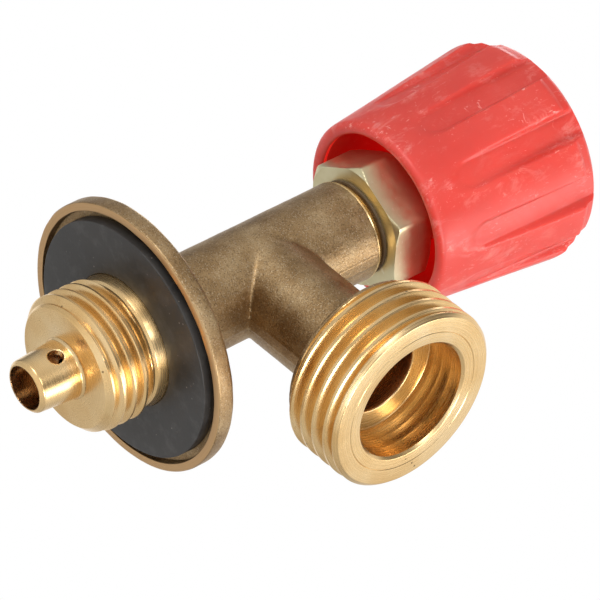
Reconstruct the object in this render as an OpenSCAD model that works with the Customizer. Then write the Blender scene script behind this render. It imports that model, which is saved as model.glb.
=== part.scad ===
// Tap for a small refillable gas cylinder.
// +Z runs along the main axis, from the cylinder to the handwheel. The outlet points along -Y.
// The origin is on the main axis, in the plane where the sealing washer meets the cylinder.
// The tap is drawn closed. All lengths are in millimetres.

/* [Inlet] */
// Outside diameter of the inlet thread, M16
inlet_d = 15.9; // [15.6:0.05:16]
// Pitch of the inlet thread
inlet_pitch = 1.5; // [1:0.25:2]
// How far the threaded inlet stands out from the cylinder's sealing face
inlet_len = 7.9; // [7:0.1:10]
// Diameter of the nib at its root
nib_root_d = 6.7; // [6.2:0.1:7.2]
// Diameter of the nib at its tip
nib_tip_d = 6; // [5.6:0.1:6.2]
// Bore of the nib at its mouth
nib_bore_d = 5; // [4:0.1:5.2]
// How far the nib stands out from the inlet's end
nib_len = 5.4; // [4.5:0.1:7]
// Diameter of the nib's cross hole
cross_hole_d = 1.8; // [1:0.1:2]

/* [Flange] */
// Diameter of the flange
flange_d = 31.2; // [28:0.1:36]
// Thickness of the flange's edge
flange_t = 2.1; // [1.8:0.1:4]
// Width of the raised rim round the washer's recess
rim_w = 1; // [0.6:0.1:1.5]
// Diameter of the sealing washer
washer_d = 27.4; // [22:0.1:29]
// Thickness of the sealing washer
washer_t = 1.5; // [1.2:0.1:2]
// How far the washer stands proud of the flange's rim
washer_proud = 0.5; // [0.2:0.1:0.8]

/* [Body] */
// Diameter of the barrel
barrel_d = 11.6; // [11.2:0.1:14]
// Height of the barrel's end above the sealing face
barrel_top = 32.1; // [30:0.1:36]
// Height of the outlet's axis above the sealing face
outlet_z = 18.45; // [17.5:0.05:19.5]
// Diameter of the side branch
branch_d = 11.4; // [11:0.1:13]

/* [Outlet] */
// Outside diameter of the outlet thread, W21.8, left-hand
outlet_d = 21.8; // [20:0.1:22]
// Threads per inch of the outlet thread
outlet_tpi = 14; // [11:1:18]
// Distance of the outlet's face from the main axis
outlet_reach = 26; // [24:0.1:30]
// Length of the threaded part of the outlet
outlet_len = 8.6; // [7:0.1:10]
// Diameter of the outlet's counterbore
outlet_bore_d = 14.16; // [12:0.02:16]
// Depth of the outlet's counterbore
outlet_bore_depth = 5.4; // [3:0.1:7]
// Diameter of the hole behind the counterbore
outlet_hole_d = 9.1; // [6:0.1:9.6]

/* [Spindle] */
// Spindle thread diameter
spindle_thread_d = 6; // [5:0.5:7]
// Spindle thread pitch
spindle_pitch = 1; // [0.75:0.25:1.25]
// Diameter of the smooth stem
stem_d = 5; // [4.4:0.1:5.4]
// Turns from closed to fully open
open_turns = 2.5; // [1:0.25:2.5]
// Diameter of the gas hole in the valve seat
seat_hole_d = 3.5; // [3:0.1:4]

/* [Bonnet] */
// Size of the bonnet's hexagon across its flats
hex_af = 14; // [13:0.5:16]
// Height of the hexagon
hex_h = 5.2; // [4:0.1:7]

/* [Handwheel] */
// Diameter of the handwheel at its mouth, over the lip
wheel_mouth_d = 22.2; // [21:0.1:25]
// Largest diameter of the handwheel
wheel_top_d = 26.1; // [25:0.1:30]
// Inside diameter of the handwheel's mouth
wheel_mouth_bore_d = 19.1; // [18.5:0.1:21]
// Height of the handwheel's mouth above the sealing face
wheel_mouth_z = 35.6; // [35:0.1:37]
// Height of the handwheel's flat end above the sealing face
wheel_top_z = 57.5; // [56.5:0.1:60]
// Number of finger grooves
groove_count = 10; // [6:1:12]
// Depth of a finger groove at the handwheel's end
groove_depth = 0.9; // [0.4:0.1:1.2]

/* [Hidden] */
$fn = 96;
eps = 0.01;
inch = 25.4;

// Fits
run_gap = 0.03;       // radial gap of a turning or sliding fit
slip_gap = 0.05;      // gap between loose parts

// Inlet and flange
inlet_r = inlet_d / 2;
inlet_root_r = inlet_r - 0.5413 * inlet_pitch;
inlet_chamfer = 1.1;
neck_len = 1.3;
rim_z = washer_proud;
flange_back_z = rim_z + flange_t;
recess_floor_z = washer_t;
nib_shank_r = 2.9;
nib_shank_len = 4.5;
nib_tip_z = -inlet_len - nib_len;
cross_hole_z = -9.8;
cross_hole_angle = -167;

// Barrel and passages
barrel_r = barrel_d / 2;
chamber_r = 4.1;
chamber_floor_z = 14;
seat_z = 15;
seat_ring_r = 2.6;
seat_hole_r = seat_hole_d / 2;
inlet_passage_r = 1.6;
tail_bore_r = 4.5;
tail_bore_z = 25.8;
side_hole_r = 3.2;

// Outlet
outlet_r = outlet_d / 2;
outlet_pitch = inch / outlet_tpi;
outlet_root_r = outlet_r - 0.64 * outlet_pitch;
outlet_hole_end = 15;

// Bonnet
gasket_t = 0.4;
bonnet_tail_z = 26;
bonnet_face_z = barrel_top + 0.3;
hex_top_z = bonnet_face_z + hex_h;
bonnet_top_z = 42;
bonnet_neck_r = 5;
thread_bore_top_z = 34;
stem_r = stem_d / 2;
thread_r = spindle_thread_d / 2;
stem_bore_r = stem_r + run_gap;
thread_bore_r = thread_r + slip_gap;

// Spindle and seat holder
holder_r = 3.3;
holder_bottom_z = 15.6;
holder_top_z = 20.4;
pad_top_z = 16.6;
pad_r = 2.85;
pad_screw_r = 0.78;
swivel_bore_r = 1.85;
swivel_bore_z = 18;
swivel_tail_r = 1.8;
swivel_neck_r = 1.4;
swivel_groove_r = 2.3;
swivel_groove_z = [18.98, 19.62];
thread_z = [26.6, 30.8];
thrust_washer_t = 0.5;
o_ring_r = 0.38;
o_ring_mid_r = stem_r - o_ring_r;
o_ring_groove_r = 1.75;
lower_groove_z = [34.6, 35.8];
upper_groove_z = [36.6, 38.3];
square_w = 3.5;
square_z = [42.4, 49.8];

// Handwheel and its fixings
wheel_mouth_r = wheel_mouth_d / 2;
wheel_top_r = wheel_top_d / 2;
wheel_wide_z = wheel_top_z - 2.6;
lip_z = wheel_mouth_z + 1.3;
cavity_top_r = 10.7;
cavity_top_z = 51;
boss_r = 5.8;
boss_z = 43.2;
insert_af = 7.6;
insert_z = [43.6, 50.2];
socket_floor_z = 53;
socket_r = 6.05;
knob_screw_r = 1.5;
knob_screw_bottom_z = 45;
groove_w = 3.2;
groove_start_z = 39.2;
groove_start_depth = 0.3;
first_groove_angle = -136;

// Points of a row of thread crests, seen as rings: root, flank, crest, flank, for each ring.
function crest_rows(major_r, root_r, pitch, start, rings) = [
    for (i = [0:rings - 1])
        for (p = [[root_r, 1 / 8], [major_r, 7 / 16], [major_r, 9 / 16], [root_r, 7 / 8]])
            [p[0], start + (i + p[1]) * pitch]
];

// A solid turned about Z from a half outline of [radius, height] points.
module turned(points) {
    rotate_extrude() polygon(points);
}

// A tube or ring about Z.
module ring(outer_r, inner_r, z0, z1) {
    turned([[inner_r, z0], [outer_r, z0], [outer_r, z1], [inner_r, z1]]);
}

// A round bar about Z.
module bar(r, z0, z1) {
    translate([0, 0, z0]) cylinder(r = r, h = z1 - z0);
}

// A hexagonal bar about Z, two of its corners on the Y axis.
module hex_bar(af, z0, z1) {
    translate([0, 0, z0]) rotate([0, 0, 30]) cylinder(r = af / 2 / cos(30), h = z1 - z0, $fn = 6);
}

// Moves a shape made about Z onto the outlet's axis, so that its +Z points out of the outlet.
module on_outlet() {
    translate([0, 0, outlet_z]) rotate([90, 0, 0]) children();
}

// Threaded inlet with a plain neck, from the flange down to the inlet's end.
module inlet_spigot() {
    rings = 3;
    thread_top = -neck_len;
    thread_start = thread_top - rings * inlet_pitch;
    turned(concat(
        [[0, -inlet_len], [inlet_r - inlet_chamfer, -inlet_len], [inlet_r, -inlet_len + inlet_chamfer],
         [inlet_r, thread_start - 0.3], [inlet_root_r, thread_start]],
        crest_rows(inlet_r, inlet_root_r, inlet_pitch, thread_start, rings),
        [[inlet_root_r, flange_back_z], [0, flange_back_z]]
    ));
}

// Dished flange that holds the washer.
module flange() {
    edge = 0.3;
    flange_r = flange_d / 2;
    fillet = 0.9;
    turned([
        [0, recess_floor_z], [flange_r - rim_w, recess_floor_z], [flange_r - rim_w, rim_z],
        [flange_r - edge, rim_z], [flange_r, rim_z + edge],
        [flange_r, flange_back_z - edge], [flange_r - edge, flange_back_z],
        [barrel_r + fillet, flange_back_z], [barrel_r, flange_back_z + fillet], [0, flange_back_z + fillet]
    ]);
}

// Upright barrel with its machined end.
module barrel() {
    chamfer = 0.5;
    turned([
        [0, flange_back_z], [barrel_r, flange_back_z], [barrel_r, barrel_top - chamfer],
        [barrel_r - chamfer, barrel_top], [0, barrel_top]
    ]);
}

// Side branch and the threaded outlet on its end.
module outlet_branch() {
    rings = 4;
    back = outlet_reach - outlet_len;
    edge = 0.45;
    thread_start = outlet_reach - 1 - rings * outlet_pitch;
    on_outlet() {
        cylinder(r = branch_d / 2, h = back + 1);
        turned(concat(
            [[0, back - 1.2], [branch_d / 2, back - 1.2],
             [outlet_root_r, back], [outlet_root_r, thread_start]],
            crest_rows(outlet_r, outlet_root_r, outlet_pitch, thread_start, rings),
            [[outlet_r, outlet_reach - edge - 0.3], [outlet_r - edge, outlet_reach], [0, outlet_reach]]
        ));
    }
}

// Chamber above the seat, with the raised seat ring left standing on its floor.
module chamber_space() {
    difference() {
        bar(chamber_r, chamber_floor_z, barrel_top);
        bar(seat_ring_r, chamber_floor_z - 1, seat_z);
    }
}

module valve_body() {
    color("peru") difference() {
        union() {
            inlet_spigot();
            flange();
            barrel();
            outlet_branch();
        }
        bar(nib_shank_r, -inlet_len - 1, -inlet_len + nib_shank_len);
        bar(inlet_passage_r, -inlet_len, chamber_floor_z);
        bar(seat_hole_r, chamber_floor_z - 2, seat_z + 1);
        chamber_space();
        bar(tail_bore_r, tail_bore_z, barrel_top + 1);
        on_outlet() {
            bar(side_hole_r, 0, outlet_hole_end);
            bar(outlet_hole_d / 2, outlet_hole_end, outlet_reach);
            bar(outlet_bore_d / 2, outlet_reach - outlet_bore_depth, outlet_reach + 1);
        }
    }
}

// Hollow nib that pushes the cylinder's own valve open. Its shank is pressed into the inlet.
module inlet_nib() {
    tip_edge = 0.4;
    collar = 0.25;
    root_r = nib_root_d / 2;
    tip_r = nib_tip_d / 2;
    bore_r = nib_bore_d / 2;
    gas_r = 1.1;
    bore_end = -8.7;
    shank_top = -inlet_len + nib_shank_len;
    color("goldenrod") difference() {
        turned([
            [gas_r, shank_top], [nib_shank_r, shank_top], [nib_shank_r, -inlet_len],
            [root_r + collar, -inlet_len], [root_r, -inlet_len - collar],
            [tip_r, nib_tip_z + tip_edge], [tip_r - tip_edge, nib_tip_z],
            [bore_r, nib_tip_z], [bore_r, bore_end], [gas_r, bore_end + 0.8]
        ]);
        translate([0, 0, cross_hole_z]) rotate([0, 90, cross_hole_angle])
            cylinder(r = cross_hole_d / 2, h = nib_root_d + 2, center = true);
    }
}

module sealing_washer() {
    edge = 0.15;
    r = washer_d / 2;
    hole_r = inlet_r + 0.1;
    color("dimgray") turned([
        [hole_r, 0], [r - edge, 0], [r, edge], [r, washer_t], [hole_r, washer_t]
    ]);
}

module bonnet_gasket() {
    color("darkslategray") ring(5.55, tail_bore_r + 0.05, barrel_top, barrel_top + gasket_t);
}

// Hexagonal bonnet: screws into the barrel and holds the spindle.
module bonnet() {
    relief_r = 6;
    corner_r = hex_af / 2 / cos(30);
    face_r = hex_af / 2 + 0.35;
    slope = 0.5;
    color("darkkhaki") difference() {
        union() {
            bar(tail_bore_r - run_gap, bonnet_tail_z, bonnet_face_z + 1);
            intersection() {
                hex_bar(hex_af, bonnet_face_z, hex_top_z);
                turned([
                    [0, bonnet_face_z], [face_r, bonnet_face_z],
                    [corner_r + 0.2, bonnet_face_z + slope], [corner_r + 0.2, hex_top_z - slope],
                    [face_r, hex_top_z], [0, hex_top_z]
                ]);
            }
            bar(bonnet_neck_r, hex_top_z - 1, bonnet_top_z);
        }
        bar(thread_bore_r, bonnet_tail_z - 1, thread_bore_top_z);
        bar(stem_bore_r, bonnet_tail_z, bonnet_top_z + 1);
        ring(relief_r, tail_bore_r - run_gap, bonnet_face_z - 1, barrel_top + gasket_t);
    }
}

// Cup that carries the soft pad. It swivels on the spindle, so the pad never scrubs the seat.
module seat_holder() {
    color("burlywood") difference() {
        bar(holder_r, holder_bottom_z, holder_top_z);
        bar(pad_r, holder_bottom_z - 1, pad_top_z);
        bar(pad_screw_r, pad_top_z - 1, swivel_bore_z + 1);
        bar(swivel_bore_r, swivel_bore_z, holder_top_z + 1);
        bar(swivel_groove_r, swivel_groove_z[0], swivel_groove_z[1]);
    }
}

module seat_pad() {
    color("black") ring(pad_r, pad_screw_r, seat_z, pad_top_z);
}

module pad_screw() {
    color("silver") {
        bar(pad_screw_r, seat_z - eps, swivel_bore_z - 0.1);
        bar(1.35, seat_z - 0.5, seat_z);
    }
}

// Split wire ring that keeps the seat holder on the spindle's tail.
module swivel_ring() {
    split_w = 1;
    color("silver") difference() {
        ring(swivel_groove_r - slip_gap, swivel_neck_r + slip_gap,
            swivel_groove_z[0] + 0.08, swivel_groove_z[1] - 0.08);
        translate([0, -split_w / 2, holder_bottom_z]) cube([4, split_w, 6]);
    }
}

// Spindle: swivel tail, shoulder, thread, stem with two ring grooves, and a square for the handwheel.
module spindle() {
    tail_end = swivel_bore_z + slip_gap;
    shoulder_z = holder_top_z + slip_gap;
    color("goldenrod") difference() {
        union() {
            turned([
                [0, tail_end], [swivel_tail_r, tail_end], [swivel_tail_r, swivel_groove_z[0]],
                [swivel_neck_r, swivel_groove_z[0]], [swivel_neck_r, swivel_groove_z[1]],
                [swivel_tail_r, swivel_groove_z[1]], [swivel_tail_r, shoulder_z], [stem_r, shoulder_z],
                [stem_r, thread_z[0]], [thread_r, thread_z[0] + 0.5], [thread_r, thread_z[1]],
                [stem_r, thread_z[1]], [stem_r, lower_groove_z[0]],
                [o_ring_groove_r, lower_groove_z[0]], [o_ring_groove_r, lower_groove_z[1]],
                [stem_r, lower_groove_z[1]], [stem_r, upper_groove_z[0]],
                [o_ring_groove_r, upper_groove_z[0]], [o_ring_groove_r, upper_groove_z[1]],
                [stem_r, upper_groove_z[1]], [stem_r, square_z[0]], [0, square_z[0]]
            ]);
            translate([-square_w / 2, -square_w / 2, square_z[0] - 1])
                cube([square_w, square_w, square_z[1] - square_z[0] + 1]);
        }
        bar(knob_screw_r, knob_screw_bottom_z - 0.5, square_z[1] + 1);
    }
}

module thrust_washer() {
    color("white") ring(thread_r - eps, stem_r, thread_z[1], thread_z[1] + thrust_washer_t);
}

// Round-section seal ring about Z.
module o_ring(z) {
    rotate_extrude() translate([o_ring_mid_r, z]) circle(r = o_ring_r, $fn = 32);
}

module lower_o_ring() {
    color("black") o_ring((lower_groove_z[0] + lower_groove_z[1]) / 2);
}

module upper_o_ring() {
    color("black") o_ring(upper_groove_z[0] + 0.5);
}

module backup_ring() {
    color("white") ring(stem_r - eps, o_ring_groove_r, upper_groove_z[1] - 0.6, upper_groove_z[1] - 0.1);
}

// One finger groove: a flat-bottomed slot with a round lower end, deeper towards the wide end.
module groove_cutter() {
    half_w = groove_w / 2;
    start_z = groove_start_z + half_w;
    start_r = wheel_mouth_r - groove_start_depth
        + (wheel_top_r - wheel_mouth_r) * (start_z - lip_z) / (wheel_wide_z - lip_z);
    tilt = atan((wheel_top_r - groove_depth - start_r) / (wheel_wide_z - start_z));
    translate([start_r, 0, start_z]) rotate([0, tilt, 0]) {
        translate([0, -half_w, 0]) cube([5, groove_w, wheel_top_z]);
        rotate([0, 90, 0]) cylinder(r = half_w, h = 5);
    }
}

// Outline of the handwheel: a cone with a rolled lip, a rounded end, a socket for the screw
// and a boss inside the skirt.
module wheel_outline() {
    mouth_r = wheel_mouth_bore_d / 2;
    screw_hole_r = knob_screw_r + slip_gap;
    stem_hole_r = stem_r + 0.3;
    pocket_mid_z = (insert_z[0] + insert_z[1]) / 2;
    turned([
        [mouth_r, wheel_mouth_z + 0.3], [mouth_r + 0.4, wheel_mouth_z],
        [wheel_mouth_r - 0.7, wheel_mouth_z], [wheel_mouth_r - 0.2, wheel_mouth_z + 0.45],
        [wheel_mouth_r, lip_z], [wheel_top_r, wheel_wide_z],
        [wheel_top_r - 0.2, wheel_top_z - 1.3], [wheel_top_r - 0.9, wheel_top_z - 0.4],
        [wheel_top_r - 2, wheel_top_z], [socket_r, wheel_top_z], [socket_r, socket_floor_z],
        [screw_hole_r, socket_floor_z], [screw_hole_r, pocket_mid_z], [stem_hole_r, pocket_mid_z],
        [stem_hole_r, boss_z], [boss_r, boss_z], [boss_r, cavity_top_z],
        [cavity_top_r, cavity_top_z], [mouth_r, wheel_mouth_z + 1.5]
    ]);
}

module handwheel() {
    color("tomato") difference() {
        wheel_outline();
        hex_bar(insert_af, insert_z[0], insert_z[1]);
        for (i = [0:groove_count - 1])
            rotate([0, 0, first_groove_angle + i * 360 / groove_count]) groove_cutter();
    }
}

module knob_insert() {
    hole_w = square_w + 2 * slip_gap;
    color("gold") difference() {
        hex_bar(insert_af, insert_z[0], insert_z[1]);
        translate([-hole_w / 2, -hole_w / 2, insert_z[0] - 1]) cube([hole_w, hole_w, 10]);
    }
}

module knob_washer() {
    color("silver") ring(4, knob_screw_r + slip_gap, socket_floor_z, socket_floor_z + 0.5);
}

// Split spring washer, drawn flattened by the screw.
module spring_washer() {
    split_w = 0.4;
    z0 = socket_floor_z + 0.5;
    color("slategray") difference() {
        ring(2.9, knob_screw_r + slip_gap, z0, z0 + 0.6);
        rotate([0, 0, 40]) translate([0, -split_w / 2, z0 - 1]) cube([4, split_w, 3]);
    }
}

module knob_screw() {
    head_z = socket_floor_z + 1.1;
    color("silver") difference() {
        union() {
            bar(knob_screw_r, knob_screw_bottom_z, head_z + 0.5);
            turned([[0, head_z], [2.8, head_z], [2.8, head_z + 1], [2.2, head_z + 1.6], [0, head_z + 1.6]]);
        }
        for (a = [0, 90])
            rotate([0, 0, a]) translate([-1.5, -0.3, head_z + 0.6]) cube([3, 0.6, 2]);
    }
}

// Plain push-in cap that covers the screw.
module knob_cap() {
    top = wheel_top_z - 0.2;
    skirt_z = top - 2.4;
    wall = 0.9;
    cap_r = socket_r - slip_gap / 2;
    color("firebrick") turned([
        [cap_r - wall, skirt_z], [cap_r, skirt_z], [cap_r, top - 0.3], [cap_r - 0.3, top],
        [0, top], [0, top - wall], [cap_r - wall, top - wall]
    ]);
}

valve_body();
inlet_nib();
sealing_washer();
bonnet_gasket();
bonnet();
seat_holder();
seat_pad();
pad_screw();
swivel_ring();
spindle();
thrust_washer();
lower_o_ring();
upper_o_ring();
backup_ring();
handwheel();
knob_insert();
knob_washer();
spring_washer();
knob_screw();
knob_cap();
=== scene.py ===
import math

import bmesh
import bpy
import numpy as np
from mathutils import Matrix, Vector, noise


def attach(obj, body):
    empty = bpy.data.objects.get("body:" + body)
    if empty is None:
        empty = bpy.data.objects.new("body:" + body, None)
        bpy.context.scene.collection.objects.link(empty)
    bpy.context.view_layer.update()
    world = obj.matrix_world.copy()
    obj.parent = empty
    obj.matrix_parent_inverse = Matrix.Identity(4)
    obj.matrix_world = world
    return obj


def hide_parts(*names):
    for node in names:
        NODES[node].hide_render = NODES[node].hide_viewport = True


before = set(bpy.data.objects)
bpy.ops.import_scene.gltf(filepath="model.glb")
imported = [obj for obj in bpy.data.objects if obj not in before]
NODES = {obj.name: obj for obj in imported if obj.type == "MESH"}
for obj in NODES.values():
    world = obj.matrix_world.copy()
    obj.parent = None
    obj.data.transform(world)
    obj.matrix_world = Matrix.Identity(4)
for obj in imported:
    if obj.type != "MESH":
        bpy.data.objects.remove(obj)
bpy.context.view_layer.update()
MM = 0.001
noise.seed_set(1)  # without it, noise_vector's offsets come from the clock and differ in each run

# ---------------------------------------------------------------- sizes, in mm, as in the CAD
# heights are along Z; depths along the branch and outlet count outwards from the barrel's axis
OUTLET_Z = 18.45
BARREL_R, BARREL_LOW, BARREL_CUT, BARREL_TOP = 5.8, 1.7, 31.12, 32.1
BRANCH_R = 5.7
ROOT_FILLET, MITRE_BLEND = 0.9, 0.2
SEAM_HALF_W, SEAM_PROUD, SEAM_BLEND = 0.72, 0.02, 0.22
CHAMBER_R, CHAMBER_LOW, BONNET_BORE_R, BONNET_BORE_LOW = 4.1, 14.0, 4.5, 25.8
PASSAGE_R, SIDE_R, SIDE_MOUTH_R, SIDE_MOUTH_Y = 1.6, 3.2, 4.55, 15
FLANGE_R, RIM_W, RIM_Z, RECESS_Z, FLANGE_BACK = 15.6, 1.0, 0.5, 1.5, 2.6
INLET_R, INLET_PITCH, INLET_END = 7.95, 1.5, -7.9
INLET_ROOT = INLET_R - 0.5413 * INLET_PITCH
OUTLET_R, OUTLET_PITCH, OUTLET_FACE = 10.9, 25.4 / 14, 26.0
OUTLET_ROOT = OUTLET_R - 0.64 * OUTLET_PITCH
OUTLET_BACK, HEAD_FLARE_Y, HEAD_FLARE_LEN, HEAD_END_Y = 17.4, 15.6, 1.75, 18.2
COUNTERBORE_R, COUNTERBORE_FLOOR, TOOL_MARK = 7.08, 20.6, 0.015
NECK_R, WASHER_HOLE_R, WASHER_R, WASHER_BACK = 7.62, 7.64, 13.7, 1.47
NIB_FIT_R, NIB_FIT_END, NIB_BORE_R = 2.9, -3.4, 2.5
BONNET_LOW, BONNET_HIGH, BONNET_AF = 32.4, 37.6, 14.0
GROOVES, FIRST_GROOVE = 10, -136.0
PAINTED_INSIDE_GLOW = 0.80  # strength of the painted glow on the handwheel's inside, an emission in place of daylight through its thin wall


# ---------------------------------------------------------------- mesh helpers
def smooth_min(a, b, k):
    h = np.maximum(k - np.abs(a - b), 0) / k
    return np.minimum(a, b) - h * h * k / 4


def smooth_max(a, b, k):
    return -smooth_min(-a, -b, k)


def smoothstep(x):
    x = np.clip(x, 0, 1)
    return x * x * (3 - 2 * x)


def surface_of(distance, low, high, step):
    """Closed mesh (vertices, quads) of the zero surface of distance(points), by surface nets."""
    low, high = np.array(low, float), np.array(high, float)
    n = np.ceil((high - low) / step).astype(int) + 1
    axes = [low[k] + step * np.arange(n[k]) for k in range(3)]
    grid = np.stack(np.meshgrid(*axes, indexing="ij"), -1)
    slabs = [distance(slab.reshape(-1, 3)) for slab in grid]
    value = np.concatenate(slabs).reshape(n)
    inside = value < 0
    cells = n - 1
    total, count = np.zeros((*cells, 3)), np.zeros(cells)
    corners = [(i, j, k) for i in (0, 1) for j in (0, 1) for k in (0, 1)]

    def corner(array, c):
        return array[c[0]:c[0] + cells[0], c[1]:c[1] + cells[1], c[2]:c[2] + cells[2]]

    for a in corners:
        for axis in range(3):
            if a[axis]:
                continue
            b = tuple(1 if k == axis else a[k] for k in range(3))
            va, vb = corner(value, a), corner(value, b)
            cross = corner(inside, a) != corner(inside, b)
            t = np.where(cross, va / np.where(cross, va - vb, 1), 0)
            for k in range(3):
                total[..., k] += np.where(cross, a[k] + (t if k == axis else 0), 0)
            count += cross
    active = count > 0
    index = np.full(cells, -1)
    index[active] = np.arange(active.sum())
    where = np.argwhere(active)
    points = low + step * (where + total[active] / count[active][:, None])
    faces = []
    for axis in range(3):
        o1, o2 = [k for k in range(3) if k != axis]
        span = [slice(0, n[k] - 1) if k == axis else slice(1, n[k] - 1) for k in range(3)]
        a = inside[tuple(span)]
        span[axis] = slice(1, n[axis])
        hit = np.argwhere(a != inside[tuple(span)])
        for k in (o1, o2):
            hit[:, k] += 1
        quad = []
        for d1, d2 in ((1, 1), (0, 1), (0, 0), (1, 0)):
            cell = hit.copy()
            cell[:, o1] -= d1
            cell[:, o2] -= d2
            quad.append(index[cell[:, 0], cell[:, 1], cell[:, 2]])
        faces.append(np.stack(quad, 1))
    for _ in range(4):
        here = distance(points)
        e = step * 0.05
        slopes = [(distance(points + shift) - distance(points - shift)) / (2 * e) for shift in np.eye(3) * e]
        gradient = np.stack(slopes, 1)
        move = here[:, None] * gradient / np.maximum((gradient ** 2).sum(1), 1e-3)[:, None]
        points = points - np.clip(move, -step * 0.5, step * 0.5)
    return points, np.concatenate(faces)


def ring_mesh(rings, closed=True):
    """Quads through a stack of rings, an array of [ring, step, xyz].

    A closed stack joins its last ring to its first.
    """
    n, steps = rings.shape[:2]
    last = n if closed else n - 1
    k, i = np.meshgrid(np.arange(last), np.arange(steps), indexing="ij")
    k2, i2 = (k + 1) % n, (i + 1) % steps
    quads = np.stack([k * steps + i, k * steps + i2, k2 * steps + i2, k2 * steps + i], -1).reshape(-1, 4)
    return rings.reshape(-1, 3), quads


def rounded(points, segments=5, closed=True):
    """An outline of (r, z) or (r, z, corner radius) points, with its corners rounded."""
    out = []
    n = len(points)
    for k, p in enumerate(points):
        here = np.array(p[:2], float)
        if len(p) < 3 or (not closed and k in (0, n - 1)):
            out.append(here)
            continue
        before, after = np.array(points[k - 1][:2], float), np.array(points[(k + 1) % n][:2], float)
        u, v = before - here, after - here
        lu, lv = np.linalg.norm(u), np.linalg.norm(v)
        u, v = u / lu, v / lv
        half = math.acos(max(-1.0, min(1.0, float(u @ v)))) / 2
        cut = min(p[2] / max(math.tan(half), 1e-6), lu * 0.48, lv * 0.48)
        radius = cut * math.tan(half)
        middle = u + v
        centre = here + middle / np.linalg.norm(middle) * radius / max(math.sin(half), 1e-6)
        a, b = here + u * cut - centre, here + v * cut - centre
        turn = math.atan2(a[0] * b[1] - a[1] * b[0], float(a @ b))
        for s in np.linspace(0, 1, segments + 1):
            c, d = math.cos(turn * s), math.sin(turn * s)
            out.append(centre + np.array([a[0] * c - a[1] * d, a[0] * d + a[1] * c]))
    return np.array(out)


def turned_rings(outline, steps, start=0.0):
    """Rings about Z for an outline of (r, z) points."""
    angle = math.radians(start) + 2 * np.pi * np.arange(steps) / steps
    r, z = outline[:, 0][:, None], outline[:, 1][:, None]
    return np.stack([r * np.cos(angle), r * np.sin(angle), np.broadcast_to(z, (len(outline), steps))], -1)


def thread_patch(root, height, pitch, hand, z0, z1, steps, floor, ceiling, per_turn=24):
    """A helical thread between z0 and z1.

    floor(z) and ceiling(z) bound its radius, which has to come to one value at each end.
    """
    levels = int(math.ceil((z1 - z0 + 2.2 * pitch) * per_turn / pitch)) + 1
    s = z0 - 1.1 * pitch + np.arange(levels) * pitch / per_turn
    phase = (np.arange(levels) % per_turn) / per_turn
    triangle = 1 - np.abs(2 * phase - 1)
    flank = np.clip((triangle - 0.17) / 0.66, 0, 1)
    form = 0.6 * flank + 0.4 * smoothstep(flank)
    angle = 2 * np.pi * np.arange(steps) / steps
    z = np.clip(s[:, None] + hand * pitch * np.arange(steps)[None] / steps, z0, z1)
    r = np.minimum(np.maximum(root + height * form[:, None], floor(z)), ceiling(z))
    points = np.stack([r * np.cos(angle), r * np.sin(angle), z], -1)
    quads = []
    j = np.arange(levels - 1)
    for i in range(steps):
        i2, shift = (i + 1) % steps, 0
        if i == steps - 1:
            shift = hand * per_turn
        ok = (j + shift >= 0) & (j + 1 + shift < levels)
        a = j[ok]
        quads.append(np.stack([a * steps + i, (a + shift) * steps + i2,
                               (a + 1 + shift) * steps + i2, (a + 1) * steps + i], 1))
    return points.reshape(-1, 3), np.concatenate(quads)


def on_outlet(points):
    """Moves points made about Z onto the outlet's axis."""
    return np.stack([points[:, 0], -points[:, 2], points[:, 1] + OUTLET_Z], 1)


def roughen(points, amount, size, seed=0.0):
    """Small uneven moves, like those of a forged or moulded surface."""
    shift = Vector((seed, seed * 0.7, -seed))
    moved = np.array([noise.noise_vector(Vector(p) / size + shift) for p in points])
    return points + moved * amount


def add_piece(name, parts, materials, body, replaces=(), sharp=34, wear=None):
    """One object from parts of (points in mm, quads, material index), cleaned and shaded."""
    mesh = bpy.data.meshes.new(name)
    points, faces, kinds, start = [], [], [], 0
    for p, q, kind in parts:
        points.append(p)
        faces.append(q + start)
        kinds += [kind] * len(q)
        start += len(p)
    points = np.concatenate(points) * MM
    mesh.from_pydata(points.tolist(), [], np.concatenate(faces).tolist())
    for m in materials:
        mesh.materials.append(m)
    mesh.polygons.foreach_set("material_index", kinds)
    bm = bmesh.new()
    bm.from_mesh(mesh)
    bmesh.ops.remove_doubles(bm, verts=bm.verts, dist=2e-6)
    bmesh.ops.dissolve_degenerate(bm, edges=bm.edges, dist=1e-6)
    loose = [v for v in bm.verts if not v.link_faces]
    bmesh.ops.delete(bm, geom=loose, context="VERTS")
    bmesh.ops.recalc_face_normals(bm, faces=bm.faces)
    bm.to_mesh(mesh)
    bm.free()
    mesh.polygons.foreach_set("use_smooth", [True] * len(mesh.polygons))
    mesh.set_sharp_from_angle(angle=math.radians(sharp))
    if wear is not None:
        co = np.zeros(len(mesh.vertices) * 3)
        mesh.vertices.foreach_get("co", co)
        layer = mesh.attributes.new("wear", "FLOAT", "POINT")
        layer.data.foreach_set("value", wear(co.reshape(-1, 3) / MM).astype(np.float32))
    obj = bpy.data.objects.new(name, mesh)
    bpy.context.scene.collection.objects.link(obj)
    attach(obj, body)
    if replaces:
        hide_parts(*replaces)
    return obj


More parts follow.
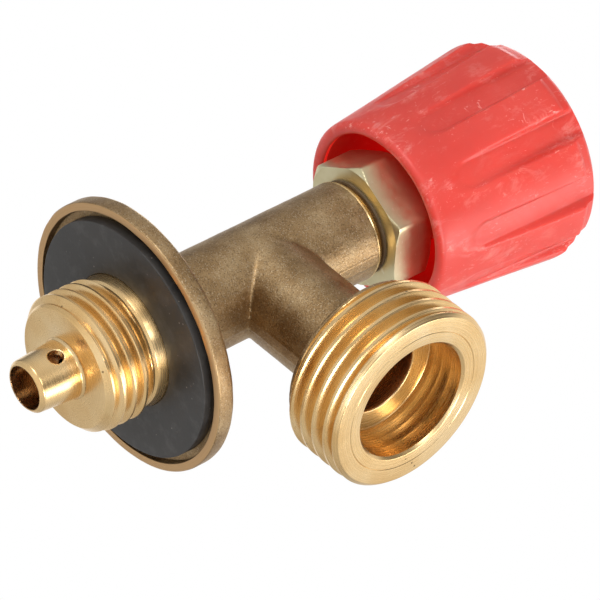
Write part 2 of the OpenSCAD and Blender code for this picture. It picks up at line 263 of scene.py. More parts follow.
# ---------------------------------------------------------------- material helpers
class Nodes:
    """A short way to write a node material."""

    def __init__(self, name, metallic, roughness):
        self.material = bpy.data.materials.new(name)
        self.material.use_nodes = True
        self.tree = self.material.node_tree
        self.shader = self.tree.nodes["Principled BSDF"]
        self.shader.inputs["Metallic"].default_value = metallic
        self.shader.inputs["Roughness"].default_value = roughness
        self.where = self.add("ShaderNodeTexCoord").outputs["Object"]
        self.normal = None

    def add(self, kind, inputs=None, **settings):
        node = self.tree.nodes.new(kind)
        for key, value in settings.items():
            setattr(node, key, value)
        for key, value in (inputs or {}).items():
            if isinstance(value, bpy.types.NodeSocket):
                self.tree.links.new(value, node.inputs[key])
            else:
                node.inputs[key].default_value = value
        return node

    def math(self, operation, a, b=0.0, c=None):
        node = self.add("ShaderNodeMath", {0: a, 1: b}, operation=operation)
        if c is not None:
            if isinstance(c, bpy.types.NodeSocket):
                self.tree.links.new(c, node.inputs[2])
            else:
                node.inputs[2].default_value = c
        return node.outputs[0]

    def stretched(self, scale):
        return self.add("ShaderNodeMapping", {"Vector": self.where, "Scale": scale}).outputs[0]

    def noise(self, scale, detail=2.0, rough=0.5, vector=None, distortion=0.0):
        inputs = {"Vector": vector or self.where, "Scale": scale, "Detail": detail, "Roughness": rough,
                  "Distortion": distortion}
        return self.add("ShaderNodeTexNoise", inputs).outputs["Fac"]

    def cells(self, scale, out="Distance"):
        return self.add("ShaderNodeTexVoronoi", {"Vector": self.where, "Scale": scale}).outputs[out]

    def times(self, a, b):
        return self.math("MULTIPLY", a, b)

    def span(self, value, low, high, to_low=0.0, to_high=1.0):
        return self.add("ShaderNodeMapRange", {"Value": value, "From Min": low, "From Max": high,
                                               "To Min": to_low, "To Max": to_high}).outputs[0]

    def ramp(self, value, stops):
        node = self.add("ShaderNodeValToRGB", {"Fac": value})
        ramp = node.color_ramp
        while len(ramp.elements) > 1:
            ramp.elements.remove(ramp.elements[-1])
        ramp.elements[0].position = stops[0][0]
        ramp.elements[0].color = (*stops[0][1], 1)
        for at, colour in stops[1:]:
            ramp.elements.new(at).color = (*colour, 1)
        return node.outputs[0]

    def mix(self, share, a, b):
        node = self.add("ShaderNodeMix", data_type="RGBA")
        for socket, value in ((node.inputs[0], share), (node.inputs[6], a), (node.inputs[7], b)):
            if isinstance(value, bpy.types.NodeSocket):
                self.tree.links.new(value, socket)
            else:
                socket.default_value = value if isinstance(value, float) else (*value, 1)
        return node.outputs[2]

    def bump(self, height, strength, distance):
        inputs = {"Height": height, "Strength": strength, "Distance": distance * MM}
        if self.normal is not None:
            inputs["Normal"] = self.normal
        self.normal = self.add("ShaderNodeBump", inputs).outputs[0]

    def finish(self, colour=None, roughness=None):
        link = self.tree.links.new
        if colour is not None:
            link(colour, self.shader.inputs["Base Color"])
        if roughness is not None:
            link(roughness, self.shader.inputs["Roughness"])
        if self.normal is not None:
            link(self.normal, self.shader.inputs["Normal"])
        return self.material

    def turning(self, axis, centre=0.0):
        """(value that runs across a lathe's marks, radius) for a piece turned about Z or along the outlet."""
        xyz = self.add("ShaderNodeSeparateXYZ", {"Vector": self.where}).outputs
        across = (xyz[0], xyz[1]) if axis == "z" else (xyz[0], self.math("SUBTRACT", xyz[2], centre))
        along = xyz[2] if axis == "z" else xyz[1]
        square = self.math("MULTIPLY_ADD", across[0], across[0], self.times(across[1], across[1]))
        radius = self.math("SQRT", square)
        return self.math("ADD", radius, self.times(along, 0.83)), radius


def lathe_marks(m, value, scale, detail):
    inputs = {"W": value, "Scale": scale, "Detail": detail, "Roughness": 0.6}
    return m.add("ShaderNodeTexNoise", inputs, noise_dimensions="1D").outputs["Fac"]


def forged_brass():
    m = Nodes("forged_brass_look", 1.0, 0.5)
    broad = m.noise(240, 4, 0.65)
    tone = m.ramp(broad, [
        (0.30, (0.260, 0.158, 0.070)), (0.50, (0.375, 0.245, 0.120)), (0.70, (0.48, 0.34, 0.185))
    ])
    specks = m.add("ShaderNodeSeparateColor", {"Color": m.cells(9000, "Color")}).outputs
    bright = m.span(specks[0], 0.82, 1.0)
    tone = m.mix(m.times(bright, 0.42), tone, (0.72, 0.60, 0.44))
    dark = m.span(specks[1], 0.72, 1.0)
    tone = m.mix(m.times(dark, 0.55), tone, (0.10, 0.062, 0.034))
    fine = m.noise(5200, 3, 0.6)
    uneven = m.math("ADD", m.times(fine, 0.6), m.times(broad, 0.4))
    rough = m.span(uneven, 0.3, 0.7, 0.36, 0.56)
    m.bump(fine, 0.60, 0.05)
    m.bump(m.cells(3900), 0.35, 0.035)
    m.bump(m.noise(520, 2), 0.18, 0.08)
    return m.finish(tone, rough)


def turned_brass(name, axis, centre=0.0, marks=0.30, dark_within=0.0, calm_within=0.0, rough=(0.20, 0.34),
                 dark=(0.42, 0.235, 0.105)):
    """Machined brass, darker within one radius (painted shade in the bores; on the rim, its own tan instead)
    and with faint marks within another, in mm.
    """
    m = Nodes(name, 1.0, 0.25)
    value, radius = m.turning(axis, centre)
    rings = lathe_marks(m, value, 5200, 3)
    wide = lathe_marks(m, value, 900, 1)
    broad = m.noise(170, 2, 0.5)
    tone = m.ramp(broad, [
        (0.32, (0.74, 0.475, 0.200)), (0.55, (0.82, 0.575, 0.285)), (0.75, (0.86, 0.64, 0.36))
    ])
    tarnish = m.span(m.noise(520, 4, 0.7), 0.58, 0.74)
    tone = m.mix(m.times(tarnish, 0.35), tone, (0.50, 0.28, 0.10))
    nick = m.times(m.span(m.cells(620), 0.10, 0.05), m.span(m.noise(260, 1), 0.60, 0.66))
    tone = m.mix(nick, tone, (0.12, 0.07, 0.03))
    # within dark_within the tone goes to dark: painted shade inside a bore, the machined tan on the rim
    if dark_within:
        shade_and_tint_share = m.span(radius, dark_within * MM, (dark_within + 0.08) * MM, 1.0, 0.0)
        tone = m.mix(shade_and_tint_share, tone, dark)
    shine = m.math("ADD", m.span(rings, 0.3, 0.7, *rough), m.times(tarnish, 0.14))
    strength = marks
    if calm_within:
        strength = m.span(radius, (calm_within - 0.1) * MM, calm_within * MM, marks * 0.06, marks)
    m.bump(rings, strength, 0.010)
    m.bump(wide, marks * 0.2, 0.03)
    m.bump(m.noise(1500, 3), 0.03, 0.015)
    return m.finish(tone, shine)


def plated_brass():
    m = Nodes("plated_brass_look", 1.0, 0.3)
    broad = m.noise(210, 3, 0.6)
    tone = m.ramp(broad, [
        (0.3, (0.60, 0.52, 0.31)), (0.55, (0.68, 0.605, 0.38)), (0.75, (0.75, 0.68, 0.46))
    ])
    scratch = m.span(m.noise(900, 3, 0.7, m.stretched((1, 1, 5))), 0.62, 0.70)
    tone = m.mix(m.times(scratch, 0.4), tone, (0.92, 0.90, 0.80))
    rough = m.span(m.noise(1400, 3), 0.3, 0.7, 0.33, 0.41)
    m.bump(m.noise(2600, 2), 0.035, 0.01)
    return m.finish(tone, rough)


def black_rubber():
    m = Nodes("black_rubber_look", 0.0, 0.5)
    broad = m.noise(130, 3, 0.6)
    tone = m.ramp(broad, [(0.3, (0.014, 0.012, 0.011)), (0.7, (0.030, 0.027, 0.025))])
    dust = m.times(m.span(m.cells(1100), 0.12, 0.06), m.span(m.noise(300, 2), 0.52, 0.60))
    tone = m.mix(m.times(dust, 0.6), tone, (0.30, 0.26, 0.22))
    haze = m.span(m.noise(420, 4, 0.7), 0.5, 0.75)
    tone = m.mix(m.times(haze, 0.25), tone, (0.12, 0.115, 0.11))
    rough = m.span(broad, 0.3, 0.7, 0.38, 0.58)
    m.bump(m.noise(2800, 3), 0.30, 0.03)
    m.bump(m.noise(240, 2), 0.35, 0.10)
    return m.finish(tone, rough)


def red_plastic(name, worn=False, glow=0.0):
    m = Nodes(name, 0.0, 0.4)
    broad = m.noise(120, 3, 0.55)
    tone = m.ramp(broad, [(0.3, (0.60, 0.040, 0.026)), (0.7, (0.66, 0.060, 0.042))])
    uniform = {"Subsurface Weight": 0.6, "Subsurface Radius": (1.0, 0.10, 0.06), "Subsurface Scale": 0.0028}
    # glow is painted light: a red emission that makes the plastic shine as though lit through its wall
    if glow:
        uniform.update({"Emission Color": (0.60, 0.010, 0.008, 1), "Emission Strength": glow})
    for socket, value in uniform.items():
        m.shader.inputs[socket].default_value = value
    rough = m.span(m.noise(700, 3), 0.3, 0.7, 0.34, 0.48)
    if worn:
        edge = m.add("ShaderNodeAttribute", attribute_name="wear").outputs["Fac"]
        flecks = m.span(m.noise(2600, 3, 0.7, m.stretched((1.0, 1.0, 0.45)), 0.6), 0.60, 0.66)
        patch = m.span(m.noise(240, 3, 0.65), 0.50, 0.62)
        scuff = m.times(m.times(flecks, patch), edge)
        lines = m.noise(2100, 2, 0.5, m.stretched((1.0, 0.2, 0.4)), 2.5)
        hair = m.times(m.span(lines, 0.655, 0.685), m.span(m.noise(260, 2), 0.52, 0.62))
        milky = m.noise(420, 5, 0.75, m.stretched((1.0, 1.0, 0.5)), 0.5)
        haze = m.times(m.span(milky, 0.53, 0.74), edge)
        mark = m.math("MAXIMUM", m.times(scuff, 0.7), m.times(hair, 0.4))
        mark = m.math("MAXIMUM", mark, m.times(haze, 0.60))
        tone = m.mix(mark, tone, (0.84, 0.42, 0.38))
        rough = m.math("ADD", rough, m.times(mark, 0.2))
        m.bump(m.times(mark, -1.0), 0.3, 0.04)
    m.bump(m.noise(1900, 3), 0.10, 0.03)
    m.bump(m.noise(300, 2), 0.22, 0.08)
    return m.finish(tone, rough)


def steel_look():
    m = Nodes("steel_look", 1.0, 0.3)
    tone = m.ramp(m.noise(400, 3), [(0.3, (0.48, 0.48, 0.47)), (0.7, (0.66, 0.66, 0.64))])
    m.bump(m.noise(2600, 3), 0.2, 0.03)
    return m.finish(tone, m.span(m.noise(1500, 2), 0.3, 0.7, 0.22, 0.4))


def white_plastic_look():
    m = Nodes("white_plastic_look", 0.0, 0.45)
    tone = m.ramp(m.noise(300, 2), [(0.3, (0.78, 0.77, 0.72)), (0.7, (0.88, 0.87, 0.84))])
    m.bump(m.noise(2200, 3), 0.15, 0.03)
    return m.finish(tone, m.span(m.noise(900, 2), 0.3, 0.7, 0.38, 0.52))


def fibre_look():
    m = Nodes("fibre_gasket_look", 0.0, 0.7)
    tone = m.ramp(m.noise(900, 4, 0.7), [(0.3, (0.085, 0.055, 0.028)), (0.7, (0.15, 0.10, 0.055))])
    m.bump(m.noise(3200, 3), 0.3, 0.04)
    return m.finish(tone, m.span(m.noise(900, 2), 0.3, 0.7, 0.6, 0.8))


# the first colour is painted shade for the inside of the gas ways; RIM_TAN is the machined rim's own tan
GAS_WAY_PAINTED_SHADE, RIM_TAN = (0.26, 0.125, 0.06), (0.56, 0.35, 0.17)
GAS_WAY_R = NIB_BORE_R + 0.02

FORGED = forged_brass()
# the nib, the inlet's passage and the outlet's side mouth get painted shade inside their bores; the forging's
# bore material is painted shade all over
TURNED_Z = turned_brass("turned_brass_look", "z", marks=0.08, dark_within=GAS_WAY_R, rough=(0.22, 0.30))
NIB = turned_brass("turned_nib_look", "z", marks=0.04, dark_within=GAS_WAY_R, rough=(0.23, 0.29))
TURNED_Y = turned_brass("turned_outlet_look", "y", OUTLET_Z * MM, dark_within=SIDE_MOUTH_R + 0.11,
                        calm_within=COUNTERBORE_R + 0.22, dark=GAS_WAY_PAINTED_SHADE)
BORE_PAINTED_SHADE = turned_brass("bored_brass_painted_shade_look", "z", dark_within=12.0, rough=(0.4, 0.55), dark=GAS_WAY_PAINTED_SHADE)
RIM = turned_brass("machined_rim_look", "z", marks=0.15, dark_within=FLANGE_R + 0.4, rough=(0.34, 0.48),
                   dark=RIM_TAN)
PLATED = plated_brass()
RUBBER = black_rubber()
RED = red_plastic("red_plastic_look", worn=True)
CAP = red_plastic("cap_plastic_look")
RED_INSIDE_PAINTED_GLOW = red_plastic("red_inside_painted_glow_look", glow=PAINTED_INSIDE_GLOW)
STEEL = steel_look()
WHITE = white_plastic_look()
FIBRE = fibre_look()


# ---------------------------------------------------------------- valve body
def forging(p):
    """Signed distance, in mm, of the forged barrel and branch with their bores."""
    x, y, z = p[:, 0], p[:, 1], p[:, 2]
    about_z, about_y = np.hypot(x, y), np.hypot(x, z - OUTLET_Z)
    rise = np.clip(z - FLANGE_BACK, 0, ROOT_FILLET)
    flare = ROOT_FILLET - np.sqrt(np.maximum(ROOT_FILLET ** 2 - (ROOT_FILLET - rise) ** 2, 0))
    beyond_seam = np.abs(x) - SEAM_HALF_W

    barrel = about_z - (BARREL_R + flare)
    seam = np.maximum(beyond_seam, np.abs(y) - BARREL_R - SEAM_PROUD)
    barrel = smooth_min(barrel, seam, SEAM_BLEND)
    barrel = np.maximum(barrel, np.maximum(BARREL_LOW - z, z - BARREL_CUT))

    head = smoothstep((-y - HEAD_FLARE_Y) / HEAD_FLARE_LEN)
    branch = about_y - (BRANCH_R + (OUTLET_ROOT + 0.02 - BRANCH_R) * head)
    seam = np.maximum(beyond_seam, np.abs(z - OUTLET_Z) - BRANCH_R - SEAM_PROUD)
    branch = smooth_min(branch, np.maximum(seam, -y - (HEAD_FLARE_Y + 0.8)), SEAM_BLEND)
    branch = smooth_max(branch, -y - HEAD_END_Y, 0.2)
    branch = np.maximum(branch, y)
    body = smooth_min(barrel, branch, MITRE_BLEND)

    chamber_r = np.where(z > BONNET_BORE_LOW, BONNET_BORE_R, CHAMBER_R)
    chamber = np.maximum(about_z - chamber_r, CHAMBER_LOW - z)
    side = np.maximum(about_y - np.where(-y > SIDE_MOUTH_Y, SIDE_MOUTH_R, SIDE_R), y)
    passage = about_z - PASSAGE_R
    return np.maximum(body, -np.minimum(np.minimum(chamber, side), passage))


def flange_shell():
    """The flange, cut finely enough for its surface to be made uneven."""
    outline = rounded([
        (5.0, RECESS_Z), (FLANGE_R - RIM_W, RECESS_Z, 0.15), (FLANGE_R - RIM_W, RIM_Z, 0.12),
        (FLANGE_R, RIM_Z, 0.28), (FLANGE_R, FLANGE_BACK, 0.45), (5.0, FLANGE_BACK)
    ], 4)
    dense = [outline[0]]
    for a, b in zip(outline, np.roll(outline, -1, 0)):
        cuts = max(1, int(np.linalg.norm(b - a) / 0.7))
        dense += [a + (b - a) * (k + 1) / cuts for k in range(cuts)]
    points, quads = ring_mesh(turned_rings(np.array(dense[:-1]), 288))
    return roughen(points, 0.035, 2.2, 3.0), quads


def inlet_shell():
    """The inlet's right-hand thread, and the face, hole and neck that close it."""
    steps = 192
    lead_end_z, lead_end_r = -6.75, 6.92
    low_z, high_z, runout_z, runout = INLET_END + 0.12, -1.4, -1.55, 0.75
    inside_z = 2.2

    def ceiling(z):
        lead = lead_end_r + (z - INLET_END) * (INLET_R - lead_end_r) / (lead_end_z - INLET_END)
        out = INLET_ROOT + np.clip((runout_z - z) / runout, 0, 1) * (INLET_R - INLET_ROOT + 0.01)
        return np.minimum(np.minimum(lead, out), INLET_R)

    patch = thread_patch(INLET_ROOT, INLET_R - INLET_ROOT, INLET_PITCH, 1, low_z, high_z, steps,
                         lambda z: z * 0, ceiling)
    low_r = float(ceiling(np.array([low_z]))[0])
    outline = rounded([
        (INLET_ROOT, high_z), (INLET_ROOT, high_z + 0.04), (NECK_R - 0.26, high_z + 0.3, 0.12),
        (NECK_R, 0.02), (NECK_R, inside_z), (PASSAGE_R + 0.05, inside_z), (PASSAGE_R + 0.05, NIB_FIT_END),
        (NIB_FIT_R, NIB_FIT_END), (NIB_FIT_R, INLET_END, 0.05), (low_r - 0.12, INLET_END, 0.06),
        (low_r, low_z)
    ], 3, closed=False)
    points, quads = ring_mesh(turned_rings(outline, steps), closed=False)
    return [(points, quads), patch]


def outlet_shell():
    """The outlet's left-hand thread, its face with a fine groove, and its counterbore with tool marks."""
    steps = 256
    z0, z1 = OUTLET_BACK + 0.2, OUTLET_FACE - 0.42
    land = OUTLET_R - 0.12

    def floor(z):
        return OUTLET_ROOT + smoothstep((z - (z1 - 0.75)) / 0.62) * (land - OUTLET_ROOT)

    def ceiling(z):
        back = OUTLET_ROOT + np.clip((z - z0) / 1.1, 0, 1) * (OUTLET_R - OUTLET_ROOT + 0.01)
        front = OUTLET_R - smoothstep((z - (z1 - 0.35)) / 0.35) * (OUTLET_R - land)
        return np.minimum(back, front)

    patch = thread_patch(OUTLET_ROOT, OUTLET_R - OUTLET_ROOT, OUTLET_PITCH, -1, z0, z1, steps, floor, ceiling)
    groove_r = 8.62
    outline = [(land, z1), (land - 0.42, OUTLET_FACE, 0.15), (groove_r + 0.06, OUTLET_FACE),
               (groove_r, OUTLET_FACE - 0.05), (groove_r - 0.06, OUTLET_FACE),
               (COUNTERBORE_R + 0.28, OUTLET_FACE, 0.1), (COUNTERBORE_R, OUTLET_FACE - 0.3)]
    for mark_z, before, after in ((24.05, 0.05, 0.10), (22.62, 0.08, 0.12), (21.35, 0.10, 0.10)):
        outline += [(COUNTERBORE_R, mark_z + before), (COUNTERBORE_R + TOOL_MARK, mark_z),
                    (COUNTERBORE_R, mark_z - after)]
    outline += [(COUNTERBORE_R, COUNTERBORE_FLOOR, 0.1), (SIDE_MOUTH_R + 0.2, COUNTERBORE_FLOOR, 0.12),
                (SIDE_MOUTH_R, COUNTERBORE_FLOOR - 0.3), (SIDE_MOUTH_R, 17.0), (OUTLET_ROOT - 0.3, 17.9),
                (OUTLET_ROOT, z0)]
    outline = rounded(outline, 3, closed=False)
    points, quads = ring_mesh(turned_rings(outline, steps), closed=False)
    return [(on_outlet(points), quads), (on_outlet(patch[0]), patch[1])]


def barrel_end_shell():
    """The machined chamfer on the barrel's end."""
    low_z = 30.8
    outline = rounded([
        (5.0, low_z), (BARREL_R - 0.04, 31.05), (BARREL_R + 0.01, 31.2, 0.06),
        (BARREL_R - 0.5, BARREL_TOP, 0.08), (BONNET_BORE_R, BARREL_TOP), (BONNET_BORE_R, low_z)
    ], 3)
    return ring_mesh(turned_rings(outline, 192))


body_points, body_quads = surface_of(forging, (-10.6, -18.6, 1.3), (10.6, 6.6, 31.9), 0.2)
body_x, body_y, body_z = body_points[body_quads].mean(1).T
# faces inside the barrel's and branch's bores, which get the painted shade
in_barrel = np.hypot(body_x, body_y) < 5.0
in_branch = (np.hypot(body_x, body_z - OUTLET_Z) < 4.9) & (body_y < -6.2)
bored = in_barrel | in_branch
body_points = roughen(roughen(body_points, 0.030, 2.6, 1.0), 0.012, 0.5, 2.0)
flange_points, flange_quads = flange_shell()
machined = flange_points[flange_quads].mean(1)[:, 2] < RIM_Z + 0.10
add_piece("valve_body_forging",
          [(body_points, body_quads[~bored], 0), (body_points, body_quads[bored], 3),
           (flange_points, flange_quads[~machined], 0), (flange_points, flange_quads[machined], 4),
           (*barrel_end_shell(), 1)]
          + [(*s, 1) for s in inlet_shell()] + [(*s, 2) for s in outlet_shell()],
          [FORGED, TURNED_Z, TURNED_Y, BORE_PAINTED_SHADE, RIM], "tap_body", ("valve_body",))


# ---------------------------------------------------------------- nib
def nib(p):
    """Signed distance, in mm, of the hollow nib with its cross hole."""
    x, y, z = p[:, 0], p[:, 1], p[:, 2]
    r = np.hypot(x, y)
    collar_z, root_z, tip_z = -7.82, -8.15, -13.3
    root_r, tip_r, tip_edge_r = 3.35, 3.0, 2.62
    bore_end, cross_z, cross_r, cross_turn = -8.7, -9.8, 0.9, math.radians(-167)
    taper = root_r + (tip_r - root_r) * (root_z - z) / (root_z - tip_z)
    radius = np.where(z > collar_z, NIB_FIT_R, np.where(z > root_z, root_r + (z - root_z), taper))
    outside = np.maximum(np.maximum(r - radius, tip_z - z), z - NIB_FIT_END)
    outside = smooth_max(outside, (r - tip_edge_r - (z - tip_z)) * 0.707, 0.08)
    bore = np.maximum(r - NIB_BORE_R, z - bore_end)
    cone_end = np.maximum((r - NIB_BORE_R + (z - bore_end) * 1.75) * 0.5, bore_end - z)
    hollow = np.minimum(np.minimum(bore, np.maximum(cone_end, z + 7.9)), r - 1.1)
    side = x * math.sin(cross_turn) - y * math.cos(cross_turn)
    cross = np.hypot(side, z - cross_z) - cross_r
    return smooth_max(outside, -np.minimum(hollow, cross), 0.07)


nib_points, nib_quads = surface_of(nib, (-3.8, -3.8, -13.6), (3.8, 3.8, -3.2), 0.1)
add_piece("gas_nib", [(nib_points, nib_quads, 0)], [NIB], "tap_body", ("inlet_nib",),
          sharp=50)

# ---------------------------------------------------------------- sealing washer
washer_outline = rounded([
    (WASHER_HOLE_R, 0.04, 0.1), (9.0, 0.02, 0.5), (WASHER_R, 0.0, 0.09), (WASHER_R + 0.02, WASHER_BACK, 0.1),
    (WASHER_HOLE_R, WASHER_BACK, 0.1)
], 4)
washer_points, washer_quads = ring_mesh(turned_rings(washer_outline, 240))
add_piece("rubber_washer", [(roughen(washer_points, 0.035, 5.0, 5.0), washer_quads, 0)], [RUBBER],
          "tap_body", ("sealing_washer",))


# ---------------------------------------------------------------- bonnet
def bonnet_rings():
    """The bonnet: a chamfered hexagon with a stem above it and a skirt below, drawn plain without its thread.
    """
    steps = 360
    z0, z1 = BONNET_LOW, BONNET_HIGH
    corner = BONNET_AF / 2 / math.cos(math.radians(30))
    angle = 2 * np.pi * np.arange(steps) / steps
    turn = (angle + np.pi / 6 - np.pi / 2) % (np.pi / 3) - np.pi / 6
    hexagon = BONNET_AF / 2 / np.cos(turn)
    hexagon = smooth_min(hexagon, np.full(steps, corner - 0.12), 0.25)
    chamfer = np.array([0.0, 0.04, 0.1, 0.18, 0.27, 0.36, 0.46, 0.56, 0.7, 1.0])
    rings = []

    def add_ring(r, z):
        rings.append(np.stack([r * np.cos(angle), r * np.sin(angle), np.full(steps, z)], -1))

    for r, z in ((4.46, 26.0), (4.46, 31.9), (4.46, z0), (5.3, z0), (6.2, z0 - 0.02), (6.9, z0)):
        add_ring(r, z)
    for z in (*(z0 + chamfer), z0 + 2.0, z0 + 3.0, *(z1 - chamfer[::-1])):
        edge = min(z - z0, z1 - z)
        chamfer_r = 7.3 + edge * 1.75
        add_ring(smooth_min(hexagon, np.full(steps, chamfer_r), 0.12), z)
    for r, z in ((6.0, z1), (5.15, z1), (5.0, z1 + 0.15), (5.0, 41.7), (4.75, 42.0), (2.7, 42.0),
                 (2.53, 41.8), (2.53, 34.0), (3.05, 34.0), (3.05, 26.0)):
        add_ring(r, z)
    return np.array(rings)


add_piece("hex_bonnet", [(*ring_mesh(bonnet_rings()), 0)], [PLATED], "tap_body", ("bonnet",),
          sharp=28)


# ---------------------------------------------------------------- handwheel
WIDE_Z, WHEEL_TOP, LIP_Z = 54.9, 57.5, 36.9
WIDE_R, LIP_R = 13.03, 11.12
GROOVE_START, GROOVE_HALF_TURN = 39.0, math.radians(7.75)
GROOVE_SHALLOW, GROOVE_DEEPER = 0.10, 1.08
SOCKET_R, SOCKET_FLOOR, KNOB_HOLE_R, STEM_HOLE_R = 6.06, 53.0, 1.6, 4.3


def cone(z):
    """The handwheel's radius over its ribs."""
    return LIP_R + (WIDE_R - LIP_R) * (z - LIP_Z) / (WIDE_Z - LIP_Z)


def groove_at(angle, r, z):
    """(share of full depth, distance outside a groove's edge) at a place on the outside of the handwheel."""
    step = 2 * np.pi / GROOVES
    off = (angle - math.radians(FIRST_GROOVE) + step / 2) % step - step / 2
    half = GROOVE_HALF_TURN * r
    across = np.abs(off) * r
    end = GROOVE_START + half
    outside = np.where(z > end, across, np.hypot(across, np.minimum(z - end, 0))) - half
    softness = 0.62 + 1.5 * smoothstep((end + 1.2 - z) / 2.4)
    return smoothstep((0.30 - outside) / softness), outside


def wheel_rings():
    steps = 540
    cavity_top, boss_low = 51.0, 43.6
    inner_side = rounded([
        (10.7, cavity_top, 0.8), (9.85, 37.6), (9.62, 36.5), (9.56, 36.05)
    ], 3, closed=False)
    lip = [(9.75, 35.74), (10.1, 35.6), (10.45, 35.58), (10.75, 35.7), (10.97, 35.95), (11.08, 36.3),
           (LIP_R, LIP_Z)]
    side = [(cone(z), z) for z in (*np.arange(37.3, 43.5, 0.17), *np.arange(43.5, 54.6, 0.45))]
    rounding = rounded([
        (cone(54.4), 54.4), (WIDE_R - 0.02, 55.1, 1.0), (12.62, 55.75, 0.5), (12.4, 56.7, 0.9),
        (11.9, 57.3, 0.8), (11.0, WHEEL_TOP, 0.8), (10.6, WHEEL_TOP)
    ], 5, closed=False)
    middle = rounded([
        (10.2, WHEEL_TOP), (6.3, WHEEL_TOP, 0.1), (SOCKET_R, WHEEL_TOP - 0.25), (SOCKET_R, SOCKET_FLOOR),
        (KNOB_HOLE_R, SOCKET_FLOOR), (KNOB_HOLE_R, 50.2), (STEM_HOLE_R, 50.2), (STEM_HOLE_R, boss_low),
        (5.5, 43.2), (5.8, 43.5), (5.8, 50.6, 0.4), (6.6, cavity_top)
    ], 3, closed=False)
    first = len(inner_side) + len(lip) - 2
    last = len(inner_side) + len(lip) + len(side) + len(rounding)
    outline = np.array([*map(tuple, inner_side), *lip, *side, *map(tuple, rounding), *map(tuple, middle)])
    rings = turned_rings(outline, steps)
    angle = 2 * np.pi * np.arange(steps) / steps
    for k in range(first, last):
        r, z = outline[k]
        share, _ = groove_at(angle, r, z)
        along = min(1.0, max(0.0, (z - GROOVE_START) / (WIDE_Z - GROOVE_START)))
        floor_r = cone(min(z, WIDE_Z)) - (GROOVE_SHALLOW + GROOVE_DEEPER * along) * share
        new = np.minimum(r, floor_r)
        rings[k, :, 0] = new * np.cos(angle)
        rings[k, :, 1] = new * np.sin(angle)
    return rings


def wheel_wear(p):
    """Where the handwheel gets rubbed: the ribs, their shoulders, the lip and the rounded end."""
    r, angle, z = np.hypot(p[:, 0], p[:, 1]), np.arctan2(p[:, 1], p[:, 0]), p[:, 2]
    _, beyond = groove_at(angle, np.maximum(r, 11.0), z)
    shoulder = np.exp(-((beyond - 0.25) / 0.45) ** 2)
    rib = smoothstep((beyond + 0.1) / 0.5)
    ends = np.maximum(smoothstep((z - 54.0) / 1.5), smoothstep((37.6 - z) / 1.2))
    outside = smoothstep((r - 10.0) / 0.6)
    return outside * np.clip(0.32 * rib + 0.75 * shoulder + 0.8 * ends + 0.15, 0, 1)


wheel_points, wheel_quads = ring_mesh(wheel_rings())
wheel_x, wheel_y, wheel_z = wheel_points[wheel_quads].mean(1).T
# the handwheel's inside faces, which get the painted glow
inner = np.hypot(wheel_x, wheel_y) < 9.6 + (wheel_z - 36.0) * 0.06
inner &= (wheel_z > 36.2) & (wheel_z < 51.5)
wheel_points = roughen(wheel_points, 0.03, 6.0, 7.0)
add_piece("fluted_handwheel",
          [(wheel_points, wheel_quads[~inner], 0), (wheel_points, wheel_quads[inner], 1)], [RED, RED_INSIDE_PAINTED_GLOW],
          "spindle_and_wheel", ("handwheel",), sharp=50, wear=wheel_wear)

cap_outline = rounded([
    (5.1, 54.9), (6.02, 54.9), (6.02, 57.3, 0.3), (4.6, 57.3, 0.4), (4.2, 57.05, 0.4), (0.0, 57.02),
    (0.0, 56.4), (5.1, 56.4)
], 4)
add_piece("push_in_cap", [(*ring_mesh(turned_rings(cap_outline, 160)), 0)], [CAP], "spindle_and_wheel",
          ("knob_cap",))

# ---------------------------------------------------------------- the CAD nodes that stay
LOOKS = {
    "bonnet_gasket": FIBRE, "seat_holder": TURNED_Z, "seat_pad": RUBBER, "pad_screw": STEEL,
    "swivel_ring": STEEL, "spindle": TURNED_Z, "thrust_washer": WHITE, "lower_o_ring": RUBBER,
    "upper_o_ring": RUBBER, "backup_ring": WHITE, "knob_insert": TURNED_Z, "knob_washer": STEEL,
    "spring_washer": STEEL, "knob_screw": STEEL,
}
for node, look in LOOKS.items():
    mesh = NODES[node].data
    mesh.materials.clear()
    mesh.materials.append(look)

# ---------------------------------------------------------------- stage, light and camera
scene = bpy.context.scene
scene.view_settings.view_transform = "Standard"
scene.view_settings.look = "None"

RIGHT = Vector((-0.05663, -0.64290, 0.76385))  # the camera's directions in the part's frame
DOWN = Vector((0.76704, -0.51776, -0.37891))
FORWARD = Vector((0.63909, 0.56445, 0.52245))
EYE = Vector((-0.38541, -0.34650, -0.29548))
REST_UP = Vector((-0.987, 0.154, -0.048)).normalized()  # upwards when the tap lies on a table
MIDDLE = Vector((-0.004, -0.010, 0.016))

camera_data = bpy.data.cameras.new("camera")
camera_data.sensor_width = 36
camera_data.lens = 335.4
camera_data.clip_start = 0.01
camera_data.clip_end = 50
camera = bpy.data.objects.new("camera", camera_data)
scene.collection.objects.link(camera)
turn = Matrix((RIGHT, -DOWN, -FORWARD)).transposed()
camera.matrix_world = Matrix.Translation(EYE) @ turn.to_4x4()
scene.camera = camera

floor_mesh = bpy.data.meshes.new("floor")
FLOOR_HALF, FLOOR_Z = 6, -0.6
corners = [(x * FLOOR_HALF, y * FLOOR_HALF, FLOOR_Z) for x, y in ((-1, -1), (1, -1), (1, 1), (-1, 1))]
floor_mesh.from_pydata(corners, [], [(0, 1, 2, 3)])
floor = bpy.data.objects.new("floor", floor_mesh)
scene.collection.objects.link(floor)
pale = bpy.data.materials.new("pale_floor")
pale.use_nodes = True
pale_shader = pale.node_tree.nodes["Principled BSDF"]
pale_shader.inputs["Base Color"].default_value = (0.86, 0.86, 0.85, 1)
pale_shader.inputs["Roughness"].default_value = 0.8
floor_mesh.materials.append(pale)


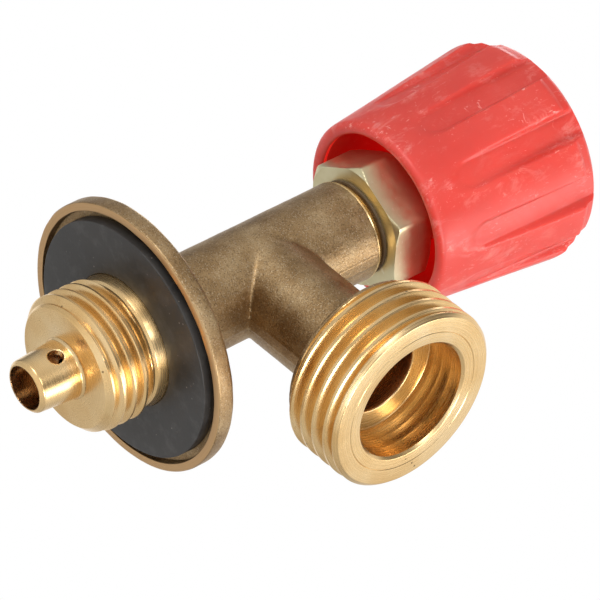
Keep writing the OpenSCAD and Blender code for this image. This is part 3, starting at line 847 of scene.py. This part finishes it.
def soft_light(name, direction, distance, size, watts):
    data = bpy.data.lights.new(name, "AREA")
    data.shape = "DISK"
    data.size = size
    data.energy = watts
    obj = bpy.data.objects.new(name, data)
    direction = direction.normalized()
    obj.location = MIDDLE + direction * distance
    obj.rotation_mode = "QUATERNION"
    obj.rotation_quaternion = direction.to_track_quat("Z", "Y")
    obj.visible_camera = False
    scene.collection.objects.link(obj)


soft_light("key", REST_UP - FORWARD * 0.35 - RIGHT * 0.15, 0.8, 0.34, 2.2)
soft_light("mouth_fill", DOWN * 0.68 + RIGHT * 0.38 - FORWARD * 0.63, 0.7, 0.28, 2.6)
soft_light("front", -FORWARD + REST_UP * 0.25 + RIGHT * 0.7, 0.9, 0.4, 1.5)
soft_light("table_glow", RIGHT * 0.87 + DOWN * 0.45 - FORWARD * 0.1, 0.7, 0.36, 1.4)
soft_light("back", Vector((0.02, 0.56, 0.83)), 0.7, 0.36, 0.9)

world = bpy.data.worlds.new("studio")
scene.world = world
world.use_nodes = True
tree = world.node_tree
tree.nodes.clear()


def world_node(kind, **settings):
    node = tree.nodes.new(kind)
    for key, value in settings.items():
        setattr(node, key, value)
    return node


direction = world_node("ShaderNodeTexCoord").outputs["Generated"]
height = world_node("ShaderNodeVectorMath", operation="DOT_PRODUCT")
tree.links.new(direction, height.inputs[0])
height.inputs[1].default_value = REST_UP
share = world_node("ShaderNodeMath", operation="MULTIPLY_ADD")
tree.links.new(height.outputs["Value"], share.inputs[0])
share.inputs[1].default_value = 0.5
share.inputs[2].default_value = 0.5
ramp = world_node("ShaderNodeValToRGB")
tree.links.new(share.outputs[0], ramp.inputs[0])
# how bright the room looks, from straight down (0) through the horizon (0.5) to straight up (1)
SKY = [(0.0, 0.50), (0.11, 0.90), (0.26, 1.05), (0.40, 1.10), (0.47, 0.75), (0.505, 0.24), (0.60, 0.20),
       (0.72, 0.42), (0.86, 0.62), (1.0, 0.8)]
elements = ramp.color_ramp.elements
while len(elements) > 1:
    elements.remove(elements[-1])
elements[0].position = SKY[0][0]
elements[0].color = (SKY[0][1],) * 3 + (1,)
for at, value in SKY[1:]:
    elements.new(at).color = (value, value, value, 1)
around = world_node("ShaderNodeBackground")
tree.links.new(ramp.outputs[0], around.inputs[0])
around.inputs[1].default_value = 1.0
behind = world_node("ShaderNodeBackground")
behind.inputs[0].default_value = (1, 1, 1, 1)
behind.inputs[1].default_value = 1.0
choose = world_node("ShaderNodeMixShader")
tree.links.new(world_node("ShaderNodeLightPath").outputs["Is Camera Ray"], choose.inputs[0])
tree.links.new(around.outputs[0], choose.inputs[1])
tree.links.new(behind.outputs[0], choose.inputs[2])
tree.links.new(choose.outputs[0], world_node("ShaderNodeOutputWorld").inputs[0])
